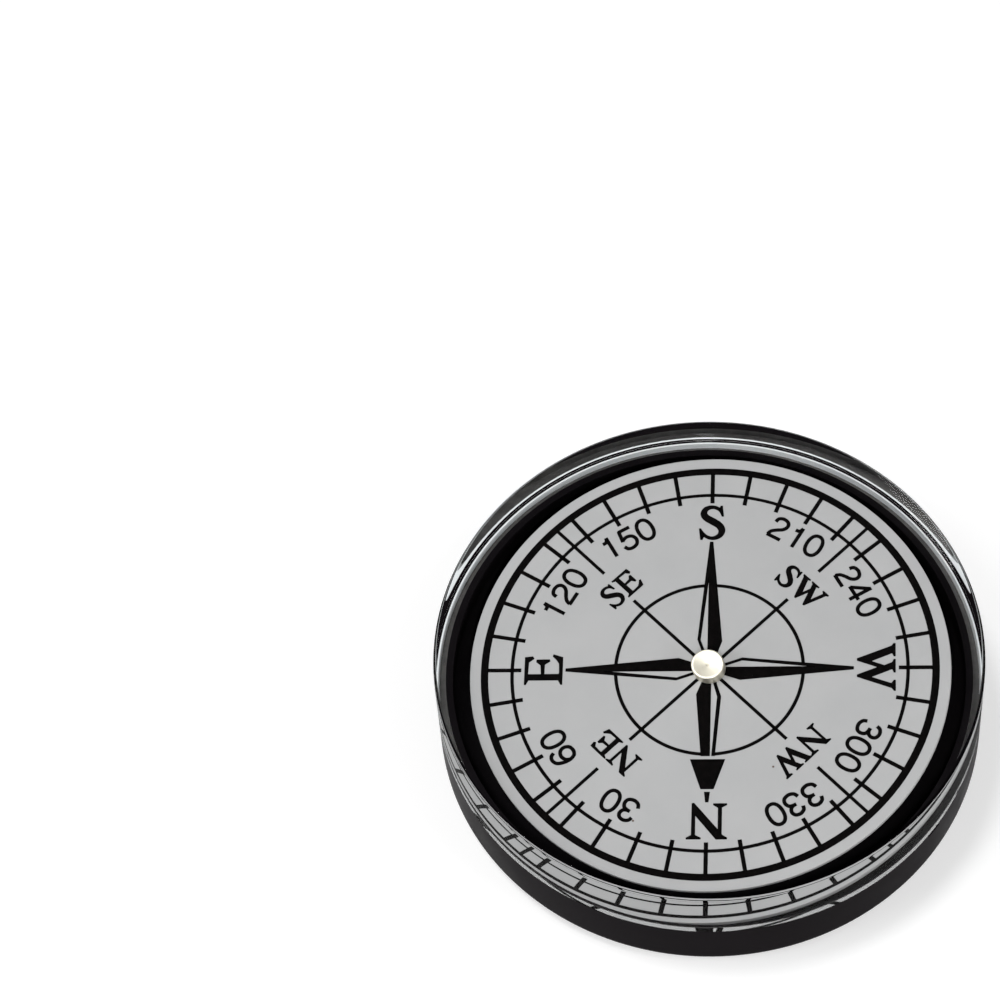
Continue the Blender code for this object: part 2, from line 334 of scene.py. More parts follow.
def node_material(name):
    """A new material with its node tree and its main shader."""
    material = bpy.data.materials.new(name)
    material.use_nodes = True
    tree = material.node_tree
    return material, tree, tree.nodes["Principled BSDF"]


def add_node(tree, kind, inputs=(), **settings):
    """A node whose inputs take a value each, or a link where the value is a socket."""
    node = tree.nodes.new(kind)
    for key, value in settings.items():
        setattr(node, key, value)
    for key, value in dict(inputs).items():
        if isinstance(value, bpy.types.NodeSocket):
            tree.links.new(value, node.inputs[key])
        else:
            node.inputs[key].default_value = value
    return node


def object_place(tree):
    """The place on the piece, for a texture that moves with it."""
    return add_node(tree, "ShaderNodeTexCoord").outputs["Object"]


def noise(tree, place, scale, detail=4.0, roughness=0.6):
    """A smooth random value, mostly between 0.3 and 0.7."""
    inputs = {"Vector": place, "Scale": scale, "Detail": detail, "Roughness": roughness}
    return add_node(tree, "ShaderNodeTexNoise", inputs).outputs["Fac"]


def spread(tree, value, low, high, start=0.3, end=0.7):
    """The value from start to end, mapped onto low to high."""
    inputs = {"Value": value, "From Min": start, "From Max": end, "To Min": low, "To Max": high}
    return add_node(tree, "ShaderNodeMapRange", inputs).outputs["Result"]


def blend_colours(tree, factor, first, second):
    """From the first colour at factor 0 to the second at 1; each is a colour or a socket."""
    node = add_node(tree, "ShaderNodeMix", data_type="RGBA")
    tree.links.new(factor, node.inputs["Factor"])
    for key, colour in (("A", first), ("B", second)):
        socket = [s for s in node.inputs if s.name == key and s.type == "RGBA"][0]
        if isinstance(colour, bpy.types.NodeSocket):
            tree.links.new(colour, socket)
        else:
            socket.default_value = (*colour, 1.0)
    return [s for s in node.outputs if s.type == "RGBA"][0]


def relief(tree, height, strength, depth):
    """A surface direction that makes the height show as a relief of this depth."""
    inputs = {"Height": height, "Strength": strength, "Distance": depth}
    return add_node(tree, "ShaderNodeBump", inputs).outputs["Normal"]


def varied_finish(name, dark, light, roughness, scale, bump_scale, bump, metallic=0.0, shine=0.5):
    """A finish whose colour and roughness drift slightly, with a fine relief."""
    material, tree, shader = node_material(name)
    place = object_place(tree)
    drift = noise(tree, place, scale)
    grain = noise(tree, place, bump_scale, 2.0)
    colour = blend_colours(tree, spread(tree, drift, 0.0, 1.0), dark, light)
    tree.links.new(colour, shader.inputs["Base Color"])
    tree.links.new(spread(tree, drift, *roughness), shader.inputs["Roughness"])
    tree.links.new(relief(tree, grain, 0.3, bump), shader.inputs["Normal"])
    shader.inputs["Metallic"].default_value = metallic
    shader.inputs["Specular IOR Level"].default_value = shine
    return material


def radius_vector(tree, radius):
    """The radius as a vector, for a texture that changes with it alone."""
    return add_node(tree, "ShaderNodeCombineXYZ", {"X": radius}).outputs["Vector"]


def turned_finish(name, dark, light, roughness, groove_scale, groove_depth):
    """Turned metal: fine rings about the piece's own axis, and a slight drift of colour."""
    material, tree, shader = node_material(name)
    place = object_place(tree)
    flat = add_node(
        tree, "ShaderNodeVectorMath", {0: place, 1: (1.0, 1.0, 0.0)}, operation="MULTIPLY"
    )
    radius = add_node(tree, "ShaderNodeVectorMath", {0: flat.outputs["Vector"]}, operation="LENGTH")
    rings = noise(tree, radius_vector(tree, radius.outputs["Value"]), groove_scale, 3.0)
    drift = noise(tree, place, 400.0)
    colour = blend_colours(tree, spread(tree, drift, 0.0, 1.0), dark, light)
    tree.links.new(colour, shader.inputs["Base Color"])
    tree.links.new(spread(tree, rings, *roughness), shader.inputs["Roughness"])
    tree.links.new(relief(tree, rings, 0.25, groove_depth), shader.inputs["Normal"])
    shader.inputs["Metallic"].default_value = 1.0
    return material


def quiet_outside(tree, surface):
    """Takes most of the glare off the outer faces, and dims what shows through the upright ones."""
    geometry = add_node(tree, "ShaderNodeNewGeometry")
    height = add_node(tree, "ShaderNodeSeparateXYZ", {"Vector": geometry.outputs["True Normal"]})
    level = add_node(tree, "ShaderNodeMath", {0: height.outputs["Z"]}, operation="ABSOLUTE")
    tint = blend_colours(tree, level.outputs["Value"], (0.80, 0.81, 0.81), (0.99, 0.995, 0.995))
    refraction = add_node(tree, "ShaderNodeBsdfRefraction", {"Color": tint, "IOR": CLEAR_IOR})
    share = spread(tree, geometry.outputs["Backfacing"], GLARE_REMOVED, 0.0, 0.0, 1.0)
    mix = add_node(tree, "ShaderNodeMixShader", {0: share})
    tree.links.new(surface, mix.inputs[1])
    tree.links.new(refraction.outputs["BSDF"], mix.inputs[2])
    return mix.outputs["Shader"]


def clear_finish():
    """Clear acrylic and liquid in one; lamps and diffuse light pass straight through."""
    material, tree, shader = node_material("clear_acrylic_and_liquid")
    place = object_place(tree)
    drift = noise(tree, place, 60.0)
    tree.links.new(spread(tree, drift, 0.0, 0.012), shader.inputs["Roughness"])
    tint = blend_colours(tree, drift, (0.985, 0.992, 0.990), (0.995, 0.998, 0.997))
    tree.links.new(tint, shader.inputs["Base Color"])
    waves = noise(tree, place, 25.0, 1.0)
    tree.links.new(relief(tree, waves, 0.02, 0.02 * MM), shader.inputs["Normal"])
    shader.inputs["Transmission Weight"].default_value = 1.0
    shader.inputs["Specular Tint"].default_value = (0.1, 0.1, 0.1, 1.0)
    shader.inputs["IOR"].default_value = CLEAR_IOR
    path = add_node(tree, "ShaderNodeLightPath")
    through = add_node(
        tree,
        "ShaderNodeMath",
        {0: path.outputs["Is Shadow Ray"], 1: path.outputs["Is Diffuse Ray"]},
        operation="MAXIMUM",
    )
    open_way = add_node(tree, "ShaderNodeBsdfTransparent", {"Color": (0.96, 0.965, 0.965, 1.0)})
    mix = add_node(tree, "ShaderNodeMixShader", {0: through.outputs["Value"]})
    tree.links.new(quiet_outside(tree, shader.outputs["BSDF"]), mix.inputs[1])
    tree.links.new(open_way.outputs["BSDF"], mix.inputs[2])
    tree.links.new(mix.outputs["Shader"], tree.nodes["Material Output"].inputs["Surface"])
    return material


def card_finish():
    """Grey-white printed plastic with a faint grain and a few tiny dark specks."""
    material, tree, shader = node_material("printed_card")
    place = object_place(tree)
    cloud = noise(tree, place, 90.0)
    fine = noise(tree, place, 2500.0, 2.0)
    clouds = spread(tree, cloud, 0.0, 1.0)
    base = blend_colours(tree, clouds, (0.492, 0.493, 0.496), (0.528, 0.526, 0.528))
    specks = add_node(tree, "ShaderNodeTexVoronoi", {"Vector": place, "Scale": 130.0})
    spots = spread(tree, specks.outputs["Distance"], 1.0, 0.0, 0.012, 0.03)
    colour = blend_colours(tree, spots, base, (0.12, 0.08, 0.06))
    tree.links.new(colour, shader.inputs["Base Color"])
    tree.links.new(spread(tree, fine, 0.45, 0.6), shader.inputs["Roughness"])
    tree.links.new(relief(tree, fine, 0.1, 0.01 * MM), shader.inputs["Normal"])
    shader.inputs["Specular IOR Level"].default_value = 0.0
    return material


def floor_finish():
    """White where it is seen, also by way of metal and glass, with the shadow left in it."""
    material, tree, shader = node_material("studio_floor")
    place = object_place(tree)
    tone = noise(tree, place, 0.5)
    colour = blend_colours(tree, tone, (0.80, 0.80, 0.80), (0.84, 0.84, 0.84))
    tree.links.new(colour, shader.inputs["Base Color"])
    shader.inputs["Roughness"].default_value = 0.9
    shader.inputs["Specular IOR Level"].default_value = 0.0
    path = add_node(tree, "ShaderNodeLightPath")
    seen = path.outputs["Is Camera Ray"]
    for key in ("Is Glossy Ray", "Is Transmission Ray"):
        both = add_node(tree, "ShaderNodeMath", {0: seen, 1: path.outputs[key]}, operation="MAXIMUM")
        seen = both.outputs["Value"]
    glow = add_node(tree, "ShaderNodeEmission")
    strength = add_node(tree, "ShaderNodeMath", {0: seen, 1: FLOOR_GLOW}, operation="MULTIPLY")
    tree.links.new(strength.outputs["Value"], glow.inputs["Strength"])
    total = add_node(tree, "ShaderNodeAddShader")
    tree.links.new(shader.outputs["BSDF"], total.inputs[0])
    tree.links.new(glow.outputs["Emission"], total.inputs[1])
    tree.links.new(total.outputs["Shader"], tree.nodes["Material Output"].inputs["Surface"])
    return material


BLACK = varied_finish(
    "black_moulded_plastic",
    (0.005, 0.0035, 0.0045),
    (0.008, 0.006, 0.0075),
    (0.30, 0.40),
    120.0,
    3000.0,
    0.01 * MM,
    shine=0.008,
)
WET_BLACK = varied_finish(
    "black_plastic_in_liquid",
    (0.006, 0.005, 0.006),
    (0.009, 0.008, 0.009),
    (0.4, 0.5),
    120.0,
    300.0,
    0.004 * MM,
    shine=0.0,
)
# A dark grey on the faces of the groove, under the foot of the cover's wall.
GROOVE_GREY = varied_finish(
    "dark_grey_of_the_groove",
    (0.035, 0.033, 0.032),
    (0.075, 0.072, 0.070),
    (0.5, 0.7),
    500.0,
    2500.0,
    0.02 * MM,
)
# The seal is pale of its own, and paler still: its colour also paints the white card's reflection in
# the joint, and lifts its shaded inner face.
SEAL_WITH_PAINTED_REFLECTION = varied_finish(
    "pale_seal_with_painted_reflection",
    (0.86, 0.89, 0.91),
    (0.93, 0.95, 0.96),
    (0.4, 0.5),
    300.0,
    4000.0,
    0.01 * MM,
)
INK = varied_finish(
    "black_printing_ink",
    (0.003, 0.003, 0.003),
    (0.006, 0.005, 0.005),
    (0.5, 0.6),
    800.0,
    6000.0,
    0.005 * MM,
    shine=0.0,
)
CAP_METAL = turned_finish(
    "polished_cap_metal",
    (0.80, 0.76, 0.64),
    (0.86, 0.82, 0.70),
    (0.42, 0.54),
    9000.0,
    0.01 * MM,
)
BRASS = turned_finish(
    "turned_brass",
    (0.72, 0.55, 0.27),
    (0.80, 0.65, 0.36),
    (0.2, 0.4),
    6000.0,
    0.01 * MM,
)
STEEL = turned_finish(
    "ground_steel",
    (0.55, 0.56, 0.58),
    (0.66, 0.67, 0.69),
    (0.15, 0.3),
    8000.0,
    0.005 * MM,
)
MAGNET = varied_finish(
    "ground_magnet_alloy",
    (0.16, 0.16, 0.17),
    (0.28, 0.28, 0.29),
    (0.3, 0.5),
    500.0,
    5000.0,
    0.02 * MM,
    metallic=0.9,
)
CARRIER = varied_finish(
    "grey_carrier_plastic",
    (0.26, 0.27, 0.28),
    (0.33, 0.34, 0.35),
    (0.45, 0.6),
    300.0,
    3000.0,
    0.02 * MM,
    shine=0.0,
)
RUBBER = varied_finish(
    "black_washer_rubber",
    (0.015, 0.015, 0.015),
    (0.025, 0.025, 0.025),
    (0.65, 0.8),
    700.0,
    5000.0,
    0.03 * MM,
)
RUBY = varied_finish(
    "synthetic_ruby",
    (0.55, 0.03, 0.08),
    (0.70, 0.06, 0.12),
    (0.03, 0.08),
    900.0,
    5000.0,
    0.002 * MM,
)
CLEAR = clear_finish()
CARD = card_finish()


# The case


def tray_profile():
    """Up the inside of the boss and wall, over the grooved rim, and down the outside."""
    lip = FOOT - SEAL_GAP / 2
    outside = [(GROOVE_INNER, RIM), (GROOVE_INNER, GROOVE_FLOOR), (SEAL_OUTER, GROOVE_FLOOR)]
    outside += [(SEAL_OUTER, lip), (OUTER, lip)]
    edge = (OUTER - TRAY_EDGE_RADIUS, TRAY_EDGE_RADIUS)
    outside += arc(edge, TRAY_EDGE_RADIUS, 0, -90, 12)
    outside += [(0.0, 0.0)]
    inside = [(0.0, PIN_FOOT), (BUSH_HOLE, PIN_FOOT), (BUSH_HOLE, BOSS_TOP)]
    inside += [(BOSS_RADIUS - BOSS_BEVEL, BOSS_TOP), (BOSS_RADIUS, BOSS_TOP - BOSS_BEVEL)]
    inside += [(BOSS_RADIUS + BOSS_FLARE, FLOOR)]
    corner = (INNER - TRAY_CORNER_RADIUS, FLOOR + TRAY_CORNER_RADIUS)
    inside += arc(corner, TRAY_CORNER_RADIUS, -90, 0, 8)
    inside += [(INNER, RIM)]
    return inside + outside


def cut_shape(name, shape, place):
    """A shape that is put in its place to be cut out of a piece."""
    cutter = new_object(name, finish_mesh(name, shape))
    cutter.matrix_world = place
    return cutter


def cylinder_shape(radius, depth):
    """A cylinder on Z, which reaches as far below zero as above it."""
    return lathe([(0.0, depth), (radius, depth), (radius, -depth), (0.0, -depth)], HOLE_STEPS)


def notch_shape():
    """A rounded block, half of which lies in the rim."""
    reach = 2 * NOTCH_DEPTH
    shape = bmesh.new()
    bmesh.ops.create_cube(shape, size=1.0)
    bmesh.ops.scale(shape, vec=(reach, NOTCH_WIDTH, NOTCH_HEIGHT), verts=shape.verts)
    bmesh.ops.bevel(
        shape, geom=shape.edges[:], offset=reach / 3, segments=4, profile=0.5, affect="EDGES"
    )
    return shape


def carve(item, cutters):
    """Cuts the shapes out of the item and removes them."""
    for cutter in cutters:
        step = item.modifiers.new(cutter.name, "BOOLEAN")
        step.operation = "DIFFERENCE"
        step.solver = "EXACT"
        step.object = cutter
    bpy.context.view_layer.update()
    solved = item.evaluated_get(bpy.context.evaluated_depsgraph_get())
    mesh = bpy.data.meshes.new_from_object(solved)
    bpy.data.objects.remove(item)
    for cutter in cutters:
        bpy.data.objects.remove(cutter)
    return mesh


def mark_tray_faces(mesh):
    """The faces in the liquid get the second finish, and those of the groove the third."""
    margin = 0.1 * MM
    for face in mesh.polygons:
        reach = math.hypot(face.center.x, face.center.y)
        if face.center.z > FLOOR - margin and reach < GROOVE_INNER - margin:
            face.material_index = 1
        elif face.center.z > GROOVE_FLOOR - margin and reach < SEAL_OUTER:
            face.material_index = 2


def make_tray():
    """The black tray, with the hole and pocket of the filler plug and the notch in its rim."""
    blank = new_object("tray_blank", finish_mesh("tray_blank", lathe(tray_profile())))
    across = Matrix.Translation((PLUG_POSITION, 0.0, 0.0))
    notch_place = Matrix.Rotation(NOTCH_ANGLE, 4, "Z") @ Matrix.Translation((OUTER, 0.0, RIM))
    cutters = [
        cut_shape("plug_hole", cylinder_shape(PLUG_HOLE, 4 * FLOOR), across),
        cut_shape("plug_pocket", cylinder_shape(PLUG_POCKET, PLUG_POCKET_DEPTH), across),
        cut_shape("rim_notch", notch_shape(), notch_place),
    ]
    mesh = carve(blank, cutters)
    mesh.name = "tray_shell"
    mesh.shade_smooth()
    mesh.set_sharp_from_angle(angle=math.radians(SHARP_ANGLE))
    finishes = [BLACK, WET_BLACK, GROOVE_GREY]
    tray = add_piece("tray_shell", mesh, finishes, "case", "base_tray")
    mark_tray_faces(tray.data)
    return tray


def make_seal():
    """The seal stands in the groove, with a hair of air between it and the foot of the wall; its
    pale colour is partly its own and partly a painted reflection of the card.
    """
    top = FOOT - SEAL_GAP
    profile = [(SEAL_INNER, top), (SEAL_OUTER, top)]
    profile += [(SEAL_OUTER, GROOVE_FLOOR), (SEAL_FOOT_INNER, GROOVE_FLOOR)]
    mesh = finish_mesh("seal_line", lathe(profile, closed=True))
    return add_piece("seal_line", mesh, [SEAL_WITH_PAINTED_REFLECTION], "case", "seal_ring")


def make_clear_body():
    """Cover and liquid as one clear solid, from the flat top to the floor of the tray."""
    wet_wall = INNER + WETTING
    wet_floor = FLOOR - WETTING
    edge = (OUTER - COVER_EDGE_RADIUS, TOP - COVER_EDGE_RADIUS)
    profile = [(0.0, TOP)]
    profile += arc(edge, COVER_EDGE_RADIUS, 90, 0, 8)
    profile += [(OUTER, FOOT), (wet_wall, FOOT), (wet_wall, wet_floor), (0.0, wet_floor)]
    mesh = finish_mesh("clear_body", lathe(profile))
    return add_piece("clear_body", mesh, [CLEAR], "case", "clear_cover")


# The card and its print


def joint_of(name):
    """The joint of this name in the frame."""
    return next(joint for joint in frame["joints"] if joint["name"] == name)


def card_place():
    """The frame of the card at rest: origin at the needle point, Z up out of its face."""
    level = Vector(joint_of("sideways_lean")["axis"]).normalized()
    normal = Vector(joint_of("card_turn")["axis"]).normalized()
    lean = Matrix((level.cross(normal), level, normal)).transposed()
    turned = lean @ Matrix.Rotation(CARD_TURN, 3, "Z")
    return Matrix.Translation(joint_of("card_turn")["pos_m"]) @ turned.to_4x4()


CARD_PLACE = card_place()


def make_card_disc():
    """The plate of the card, with soft edges and a hole for the stem of the cap."""
    foot = CARD_FACE - CARD_THICKNESS
    bore = STEM_RADIUS + FIT_GAP
    reach = CARD_RADIUS - CARD_EDGE_RADIUS
    profile = arc((reach, CARD_FACE - CARD_EDGE_RADIUS), CARD_EDGE_RADIUS, 90, 0, 4)
    profile += arc((reach, foot + CARD_EDGE_RADIUS), CARD_EDGE_RADIUS, 0, -90, 4)
    profile += [(bore, foot), (bore, CARD_FACE)]
    mesh = finish_mesh("card_plate", lathe(profile, closed=True))
    return add_piece("card_plate", mesh, [CARD], "card", "card_disc", CARD_PLACE)


def make_cap():
    """The polished cap: a dished top with a small dimple, on its riveted stem."""
    skirt = CARD_FACE + FIT_GAP
    bowl = CAP_TOP - CAP_DISH
    edge = (CAP_RADIUS - CAP_EDGE_RADIUS, CAP_TOP - CAP_EDGE_RADIUS)
    dimple = bowl - DIMPLE_DEPTH
    profile = [(0.0, dimple), (DIMPLE_FLOOR_RADIUS, dimple + DIMPLE_FLOOR_RISE)]
    profile += [(DIMPLE_RADIUS, bowl)]
    profile += [(CAP_LIP - CAP_LIP_WIDTH, CAP_TOP - CAP_LIP_RISE), (CAP_LIP, CAP_TOP)]
    profile += arc(edge, CAP_EDGE_RADIUS, 80, 0, 6)
    profile += [(CAP_RADIUS, skirt), (STEM_RADIUS, skirt), (STEM_RADIUS, RIVET_TOP)]
    profile += [(RIVET_RADIUS, RIVET_TOP), (RIVET_RADIUS, RIVET_FOOT), (STEM_BORE, RIVET_FOOT)]
    profile += [(STEM_BORE, STEM_CEILING), (0.0, STEM_CEILING)]
    mesh = finish_mesh("dished_cap", lathe(profile, CAP_STEPS), CAP_SHARP_ANGLE)
    finishes = [CAP_METAL]
    return add_piece("dished_cap", mesh, finishes, "card", "bearing_cap", CARD_PLACE)


def add_print(name, shape):
    """Ink on the card: it rides with the card and stands for no solid."""
    mesh = finish_mesh(name, shape)
    return add_piece(name, mesh, [INK], "card", place=CARD_PLACE)


def print_rings():
    """The broad ring at the edge, the thin one inside it, and the broken ring of the rose."""
    shape = bmesh.new()
    outer, inner = EDGE_RING
    for radius, width in (((outer + inner) / 2, outer - inner), (THIN_RING, RING_LINE)):
        ink_line(shape, dial_arc(radius, 0, 360, RING_STEPS)[:-1], width, closed=True)
    for start, end in ROSE_ARCS:
        ink_line(shape, dial_arc(ROSE_RING, start, end, RING_STEPS // 4), RING_LINE)
    return add_print("print_rings", shape)


def print_ticks():
    """A tick every ten degrees, and the diagonals in two parts, on each side of the letters."""
    shape = bmesh.new()
    tick_outer = EDGE_RING[1] + 0.1
    for heading in range(0, 360, 10):
        ink_line(shape, dial_points([(0, tick_outer), (0, TICK_INNER)], heading), TICK_LINE)
    for heading in (45, 135, 225, 315):
        for start, end in (LONG_DIAGONAL, SHORT_DIAGONAL):
            ink_line(shape, dial_points([(0, start), (0, end)], heading), RING_LINE)
    return add_print("print_ticks", shape)


# The rose as outlines, in millimetres: one blade, and the four shapes of the north blade
BLADE = [
    (0.19, 21.05),
    (1.76, 4.5),
    (0.85, 1.9),
    (-0.27, 1.9),
    (-0.27, 15.4),
    (-1.40, 4.75),
    (-0.38, 1.9),
    (-0.75, 1.9),
    (-1.76, 4.8),
    (-0.19, 21.05),
]
NORTH_BLACK = [(0.96, 14.0), (1.79, 4.1), (0.95, 1.9), (-0.26, 1.9), (-0.26, 14.0)]
NORTH_OUTLINE = [
    (-0.57, 14.0),
    (-1.27, 4.5),
    (-0.55, 1.9),
    (-0.92, 1.9),
    (-1.74, 4.47),
    (-0.97, 14.0),
]
NORTH_HEAD = [(-2.5, 14.54), (2.5, 14.54), (0.9, 19.2), (-0.9, 19.2)]
NORTH_WEDGE = [(-0.37, 19.67), (0.37, 19.67), (0.18, 21.28), (-0.18, 21.28)]


def print_rose():
    """Three blades alike, and the north blade with its arrow head."""
    shape = bmesh.new()
    for heading in (90, 180, 270):
        ink_patch(shape, dial_points(BLADE, heading))
    for outline in (NORTH_BLACK, NORTH_OUTLINE, NORTH_HEAD, NORTH_WEDGE):
        ink_patch(shape, dial_points(outline, 0))
    return add_print("print_rose", shape)


# Letters as outlines, in millimetres from their middle
LETTER_N = [
    (-2.97, 2.82),
    (-1.42, 2.87),
    (1.62, -0.88),
    (1.64, 2.2),
    (0.80, 2.65),
    (0.80, 2.82),
    (2.89, 2.82),
    (2.89, 2.65),
    (2.12, 2.2),
    (2.09, -2.79),
    (1.85, -2.79),
    (-1.64, 1.38),
    (-1.68, -2.03),
    (-0.94, -2.52),
    (-0.94, -2.68),
    (-2.91, -2.68),
    (-2.91, -2.52),
    (-2.15, -2.09),
    (-2.15, 2.11),
    (-2.97, 2.68),
]
LETTER_E = [
    (-2.38, 2.83),
    (2.12, 2.83),
    (2.21, 1.74),
    (1.91, 1.52),
    (1.26, 2.32),
    (-0.68, 2.38),
    (-0.68, 0.42),
    (0.79, 0.5),
    (1.35, 1.17),
    (1.68, 1.17),
    (1.70, -0.79),
    (1.44, -0.83),
    (0.91, -0.03),
    (-0.68, -0.03),
    (-0.68, -2.15),
    (-0.38, -2.26),
    (1.03, -2.21),
    (1.68, -1.79),
    (2.26, -1.23),
    (2.52, -1.3),
    (2.09, -2.68),
    (-2.38, -2.68),
    (-2.38, -2.52),
    (-1.62, -2.09),
    (-1.62, 2.26),
    (-2.38, 2.68),
]
LETTER_W = [
    (-3.95, 2.85),
    (-1.85, 2.85),
    (-1.85, 2.68),
    (-2.38, 2.38),
    (-1.09, -0.62),
    (-0.35, 1.26),
    (-0.85, 2.44),
    (-1.38, 2.68),
    (-1.38, 2.85),
    (0.79, 2.85),
    (0.79, 2.68),
    (0.21, 2.38),
    (1.5, -0.62),
    (2.56, 2.26),
    (2.01, 2.68),
    (2.01, 2.85),
    (3.74, 2.85),
    (3.74, 2.68),
    (3.26, 2.32),
    (1.42, -2.7),
    (1.15, -2.7),
    (-0.09, 0.26),
    (-1.21, -2.7),
    (-1.48, -2.7),
    (-3.5, 2.32),
    (-3.95, 2.68),
]
# S is a line of changing width, with a spike at each end
S_SPINE = [
    (1.5, 1.5, 0.25),
    (1.05, 2.3, 0.44),
    (0.1, 2.68, 0.5),
    (-0.85, 2.42, 0.68),
    (-1.25, 1.65, 0.9),
    (-0.85, 0.9, 1.0),
    (0.15, 0.25, 1.05),
    (1.1, -0.45, 1.0),
    (1.48, -1.3, 0.92),
    (1.1, -2.17, 0.7),
    (0.1, -2.57, 0.5),
    (-0.95, -2.18, 0.42),
    (-1.65, -1.25, 0.25),
]
S_SPIKES = [
    [(1.3, 2.9), (1.5, 2.9), (1.7, 1.09), (1.5, 1.09), (1.0, 2.2)],
    [(-1.88, -0.9), (-1.68, -0.9), (-1.1, -2.1), (-1.45, -2.8), (-1.65, -2.8)],
]
OUTLINED = {"N": LETTER_N, "E": LETTER_E, "W": LETTER_W}


def print_letter(shape, letter, heading, radius, shift=0.0, scale=1.0):
    """One letter, which may stand to the right of its heading and be smaller than the big ones."""
    outlines = [OUTLINED[letter]] if letter in OUTLINED else S_SPIKES
    for outline in outlines:
        ink_patch(shape, dial_points(outline, heading, radius, shift, scale))
    if letter == "S":
        spine = smooth_path(S_SPINE)
        middle = [(x, y) for x, y, width in spine]
        widths = [width * scale + 2 * INK_SPREAD for x, y, width in spine]
        ink_line(shape, dial_points(middle, heading, radius, shift, scale), widths)


# The letters of the half winds, each with how far it stands to the right of its heading
LETTER_PAIRS = {
    45: (("N", -1.70), ("E", 1.97)),
    135: (("S", -1.75), ("E", 1.42)),
    225: (("S", -2.60), ("W", 1.43)),
    315: (("N", -2.53), ("W", 1.94)),
}


def print_letters():
    """The four big letters and the four pairs of small ones."""
    shape = bmesh.new()
    for heading, letter in ((0, "N"), (90, "E"), (180, "S"), (270, "W")):
        print_letter(shape, letter, heading, BIG_LETTER_RADIUS)
    for heading, letters in LETTER_PAIRS.items():
        for letter, shift in letters:
            print_letter(shape, letter, heading, SMALL_LETTER_RADIUS, shift, SMALL_LETTER_SCALE)
    return add_print("print_letters", shape)


def oval(half_width, half_height, squareness=2.25, steps=40):
    """An ellipse, or a squarer shape where squareness is over 2."""
    points = []
    for step in range(steps):
        angle = 2.0 * math.pi * step / steps
        x = abs(math.cos(angle)) ** (2 / squareness) * math.copysign(half_width, math.cos(angle))
        y = abs(math.sin(angle)) ** (2 / squareness) * math.copysign(half_height, math.sin(angle))
        points.append((x, y))
    return points


# Digits as lines, in millimetres from their middle; a curved line is marked
CURVED = True
STRAIGHT = False
DIGITS = {
    "1": [
        (CURVED, [(-0.66, 0.98), (-0.15, 1.02), (0.1, 1.25), (0.24, 1.72)]),
        (STRAIGHT, [(0.24, 1.75), (0.24, -1.82)]),
    ],
    "2": [
        (
            CURVED,
            [
                (-0.94, 0.75),
                (-0.75, 1.40),
                (0.0, 1.70),
                (0.80, 1.45),
                (1.04, 0.81),
                (0.69, 0.12),
                (-0.12, -0.42),
                (-0.75, -0.94),
                (-1.0, -1.62),
            ],
        ),
        (STRAIGHT, [(-1.12, -1.64), (1.15, -1.64)]),
    ],
    "3": [
        (
            CURVED,
            [
                (-1.0, 0.78),
                (-0.80, 1.36),
                (-0.10, 1.70),
                (0.64, 1.50),
                (0.90, 0.92),
                (0.66, 0.34),
                (0.2, 0.10),
            ],
        ),
        (
            CURVED,
            [
                (0.2, 0.06),
                (0.78, -0.14),
                (1.06, -0.78),
                (0.82, -1.44),
                (0.0, -1.72),
                (-0.76, -1.46),
                (-1.08, -0.85),
            ],
        ),
        (STRAIGHT, [(-0.3, 0.08), (0.3, 0.08)]),
    ],
    "4": [
        (STRAIGHT, [(0.5, 1.72), (-1.2, -0.69)]),
        (STRAIGHT, [(-1.35, -0.69), (1.22, -0.69)]),
        (STRAIGHT, [(0.5, 1.9), (0.5, -1.82)]),
    ],
    "5": [
        (STRAIGHT, [(1.12, 1.62), (-0.75, 1.62)]),
        (STRAIGHT, [(-0.62, 1.75), (-0.88, -0.18)]),
        (
            CURVED,
            [
                (-0.90, -0.05),
                (-0.45, 0.22),
                (0.12, 0.31),
                (0.80, 0.02),
                (1.10, -0.69),
                (0.80, -1.44),
                (0.0, -1.73),
                (-0.70, -1.55),
                (-1.04, -0.98),
            ],
        ),
    ],
    "6": [
        (
            CURVED,
            [
                (1.06, 0.98),
                (0.74, 1.50),
                (0.12, 1.70),
                (-0.60, 1.36),
                (-0.97, 0.50),
                (-1.05, -0.30),
                (-0.94, -0.95),
                (-0.62, -1.50),
                (0.04, -1.72),
                (0.80, -1.45),
                (1.11, -0.72),
                (0.82, 0.0),
                (0.06, 0.27),
                (-0.68, -0.04),
                (-0.98, -0.60),
            ],
        ),
    ],
}


def print_digit(shape, digit, heading, shift):
    """One digit, which stands to the right of its heading by the shift."""
    if digit == "0":
        zero = oval(ZERO_HALF_WIDTH, ZERO_HALF_HEIGHT)
        placed = dial_points(zero, heading, NUMBER_RADIUS, shift)
        ink_line(shape, placed, NUMBER_LINE, closed=True)
        return
    for curved, points in DIGITS[digit]:
        line = smooth_path(points) if curved else points
        ink_line(shape, dial_points(line, heading, NUMBER_RADIUS, shift), NUMBER_LINE)


def print_numbers():
    """The degrees, every thirty, apart from those that have a letter."""
    shape = bmesh.new()
    for number in (30, 60, 120, 150, 210, 240, 300, 330):
        digits = str(number)
        for place, digit in enumerate(digits):
            shift = (place - (len(digits) - 1) / 2) * NUMBER_PITCH
            print_digit(shape, digit, number, shift)
    return add_print("print_numbers", shape)


# Solids whose shape is right keep it, and get a finish

SOLID_FINISHES = {
    "pivot_bush": BRASS,
    "filler_plug": BRASS,
    "jewel_setting": BRASS,
    "stem_washer": BRASS,
    "balance_weight": BRASS,
    "pivot_pin": STEEL,
    "plug_washer": RUBBER,
    "jewel": RUBY,
    "magnet_carrier": CARRIER,
    "magnet_left": MAGNET,
    "magnet_right": MAGNET,
}


def refinish_inner_solids():
    """Gives each kept solid its own finish in place of the plain one."""
    for node, material in SOLID_FINISHES.items():
        mesh = frame["nodes"][node].data
        mesh.materials.clear()
        mesh.materials.append(material)


# The studio

FLOOR_REACH = 12.0
LAMP_TARGET = Vector((0.0, 0.0, 0.01))


